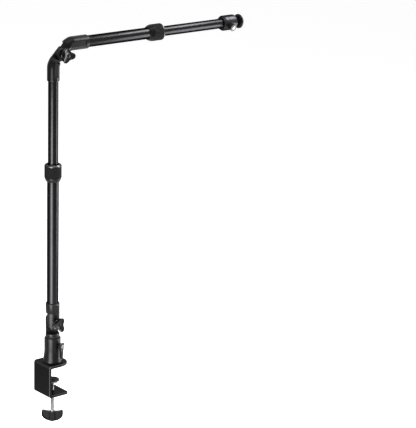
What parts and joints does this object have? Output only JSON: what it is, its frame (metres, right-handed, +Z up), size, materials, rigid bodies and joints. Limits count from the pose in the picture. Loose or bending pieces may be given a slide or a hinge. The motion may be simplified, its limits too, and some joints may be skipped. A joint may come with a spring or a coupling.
{
  "type": "overhead camera desk mount",
  "caption": "Desk clamp with a tilting telescopic mast, an elbow and a telescopic boom that ends in a ball head for an overhead camera.",
  "frame": {"origin": "on the underside of the upper jaw's rubber pad, on the mast's axis: where the desk top meets the clamp", "axes": "+Z up along the mast, +X along the jaws and the boom towards the ball head; the hinge knobs face -Y"},
  "size_m": [0.4746, 0.0528, 0.7486],
  "materials": {
    "bracket_paint": "satin black powder coat",
    "cast_paint": "satin black paint on cast alloy",
    "steel": "bright plated",
    "pad_rubber": "matt",
    "knob_plastic": "glossy black",
    "nylon": "matt black",
    "tube_anodised": "satin black anodised",
    "collar_plastic": "satin black",
    "grip_rubber": "fine ribbed",
    "ring_metal": "satin anodised, dark grey",
    "head_metal": "glossy anodised, gunmetal",
    "ball_steel": "polished"
  },
  "bodies": {
    "clamp": {"clamp_bracket": "bracket_paint", "upper_jaw_pad": "pad_rubber", "base_socket": "cast_paint", "base_bolt": "steel"},
    "clamp_foot": {"pressure_plate": "steel", "pressure_pad": "pad_rubber"},
    "spindle": {"clamp_screw": "steel", "clamp_knob": "knob_plastic"},
    "swivel_lock": {"lock_lever": "knob_plastic", "lock_screw": "steel"},
    "swivel": {"swivel_post": "cast_paint", "tilt_bolt": "steel", "tilt_washer": "nylon"},
    "lower_arm": {"mast_socket": "cast_paint", "lower_outer_tube": "tube_anodised", "lower_collet": "nylon"},
    "tilt_handle": {"tilt_knob": "knob_plastic"},
    "lower_twist": {"lower_collar": "collar_plastic", "lower_grip": "grip_rubber", "lower_ring": "ring_metal"},
    "mast": {"lower_inner_tube": "tube_anodised", "lower_tail_plug": "nylon", "elbow_lower_half": "cast_paint", "elbow_bolt": "steel", "elbow_washer": "nylon"},
    "boom": {"elbow_upper_half": "cast_paint", "upper_outer_tube": "tube_anodised", "upper_collet": "nylon"},
    "elbow_handle": {"elbow_knob": "knob_plastic"},
    "upper_twist": {"upper_collar": "collar_plastic", "upper_grip": "grip_rubber", "upper_ring": "ring_metal"},
    "boom_extension": {"upper_inner_tube": "tube_anodised", "upper_tail_plug": "nylon", "head_stud": "steel"},
    "head": {"housing_base": "head_metal", "ball_housing": "head_metal", "ball_seat": "nylon"},
    "ball_lock": {"ball_lock_knob": "knob_plastic", "ball_lock_screw": "steel"},
    "ball": {"ball_stem": "ball_steel"},
    "camera_plate": {"platform": "head_metal", "platform_pad": "pad_rubber", "camera_screw": "steel"}
  },
  "joints": [
    {"name": "foot_slide", "type": "slide", "parent": "clamp", "child": "clamp_foot", "axis": [0, 0, 1], "range_m": [-0.014, 0.028]},
    {"name": "spindle_turn", "type": "hinge", "parent": "clamp_foot", "child": "spindle", "pos_m": [0, 0, -0.03], "axis": [0, 0, 1], "range_deg": [-4033, 8065]},
    {"name": "swivel_lock_turn", "type": "hinge", "parent": "clamp", "child": "swivel_lock", "pos_m": [0, 0, 0.0405], "axis": [0.2079, -0.9781, 0], "range_deg": [-75, 75]},
    {"name": "swivel_turn", "type": "hinge", "parent": "clamp", "child": "swivel", "pos_m": [0, 0, 0.0549], "axis": [0, 0, 1], "continuous": true},
    {"name": "mast_tilt", "type": "hinge", "parent": "swivel", "child": "lower_arm", "pos_m": [0, 0, 0.084], "axis": [0, 1, 0], "range_deg": [-90, 90]},
    {"name": "tilt_knob_turn", "type": "hinge", "parent": "lower_arm", "child": "tilt_handle", "pos_m": [0, 0, 0.084], "axis": [0, -1, 0], "continuous": true},
    {"name": "lower_collar_twist", "type": "hinge", "parent": "lower_arm", "child": "lower_twist", "pos_m": [0, 0, 0.3608], "axis": [0, 0, 1], "range_deg": [-120, 0]},
    {"name": "mast_slide", "type": "slide", "parent": "lower_arm", "child": "mast", "axis": [0, 0, 1], "range_m": [-0.15, 0.02]},
    {"name": "elbow_tilt", "type": "hinge", "parent": "mast", "child": "boom", "pos_m": [0.0165, 0, 0.6006], "axis": [0, 1, 0], "range_deg": [-90, 90]},
    {"name": "elbow_knob_turn", "type": "hinge", "parent": "boom", "child": "elbow_handle", "pos_m": [0.0165, 0, 0.6006], "axis": [0, -1, 0], "continuous": true},
    {"name": "upper_collar_twist", "type": "hinge", "parent": "boom", "child": "upper_twist", "pos_m": [0.215, 0, 0.6171], "axis": [1, 0, 0], "range_deg": [-120, 0]},
    {"name": "boom_slide", "type": "slide", "parent": "boom", "child": "boom_extension", "axis": [1, 0, 0], "range_m": [-0.125, 0.01]},
    {"name": "head_pan", "type": "hinge", "parent": "boom_extension", "child": "head", "pos_m": [0.3968, 0, 0.6171], "axis": [1, 0, 0], "continuous": true},
    {"name": "ball_lock_turn", "type": "hinge", "parent": "head", "child": "ball_lock", "pos_m": [0.4105, 0, 0.6171], "axis": [0, -0.9563, -0.2924], "continuous": true},
    {"name": "ball_tilt", "type": "hinge", "parent": "head", "child": "ball", "pos_m": [0.422, 0, 0.6171], "axis": [0, 1, 0], "range_deg": [-25, 90]},
    {"name": "plate_turn", "type": "hinge", "parent": "ball", "child": "camera_plate", "pos_m": [0.422, 0, 0.6171], "axis": [1, 0, 0], "continuous": true}
  ],
  "couplings": [
    {"joint": "spindle_turn", "follows": "foot_slide", "rad_per_m": 5026.5}
  ]
}
